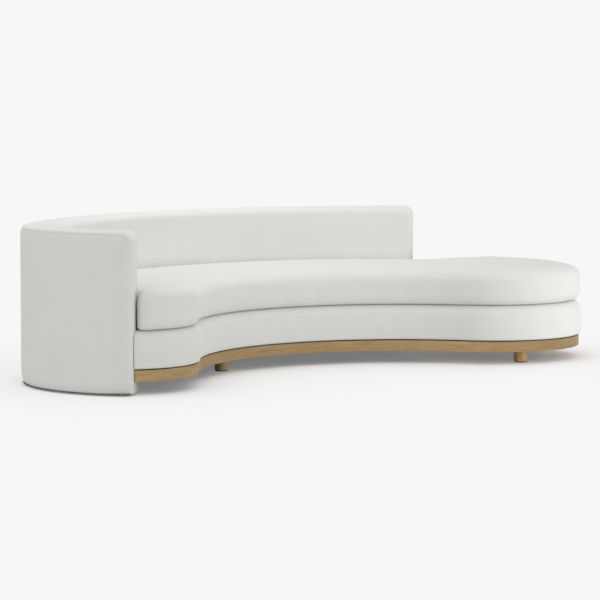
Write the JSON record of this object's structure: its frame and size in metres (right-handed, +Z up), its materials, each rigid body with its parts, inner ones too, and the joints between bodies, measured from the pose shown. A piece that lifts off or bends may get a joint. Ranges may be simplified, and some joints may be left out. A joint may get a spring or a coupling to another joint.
{
  "type": "curved chaise sofa",
  "caption": "Curved one-arm chaise sofa: a wrap-round upholstered wall, a kidney seat base on an oak plinth with round feet, and one loose crowned bench cushion that lifts off.",
  "frame": {"origin": "on the floor under the middle of the sofa's bounding box", "axes": "+X along the sofa from the arm to the chaise end, +Y from the open front to the back, +Z up"},
  "size_m": [2.9427, 1.3744, 0.7],
  "materials": {
    "upholstery_fabric": "pale grey woven wool, matte",
    "deck_cloth": "plain grey platform cloth",
    "foam": "cut upholstery foam",
    "oak": "brown oiled oak, satin",
    "plywood": "raw birch plywood",
    "black_lining": "black non-woven lining",
    "black_plastic": "matte black",
    "webbing": "elastic webbing",
    "zinc_steel": "zinc plated"
  },
  "bodies": {
    "sofa": {"base_border": "upholstery_fabric", "base_lining": "black_lining", "chaise_foot_plate": "plywood", "cross_rail_1": "plywood", "cross_rail_2": "plywood", "cross_rail_3": "plywood", "cross_rail_4": "plywood", "cross_rail_chaise": "plywood", "foot_bolts": "zinc_steel", "foot_chaise_front": "oak", "foot_chaise_rear": "oak", "foot_chaise_side": "oak", "foot_front": "oak", "foot_glides": "black_plastic", "frame_bolts": "zinc_steel", "frame_washers": "zinc_steel", "front_foot_board": "plywood", "plinth_band": "oak", "plinth_rear_rail": "plywood", "seat_deck": "deck_cloth", "seat_front_rim": "plywood", "seat_rear_rim": "plywood", "seat_webbing": "webbing", "shadow_spacer": "black_plastic", "shell_bolt_rail": "plywood", "shell_bottom_rail": "plywood", "shell_glides": "black_plastic", "shell_inner_panel": "plywood", "shell_lining": "black_lining", "shell_outer_panel": "plywood", "shell_ribs": "plywood", "shell_top_rail": "plywood", "shell_upholstery": "upholstery_fabric"},
    "cushion": {"seat_cushion": "upholstery_fabric", "cushion_core": "foam"}
  },
  "joints": [
    {"name": "seat_cushion_lift", "type": "slide", "parent": "sofa", "child": "cushion", "axis": [0, 0, 1], "range_m": [0, 0.25]}
  ]
}
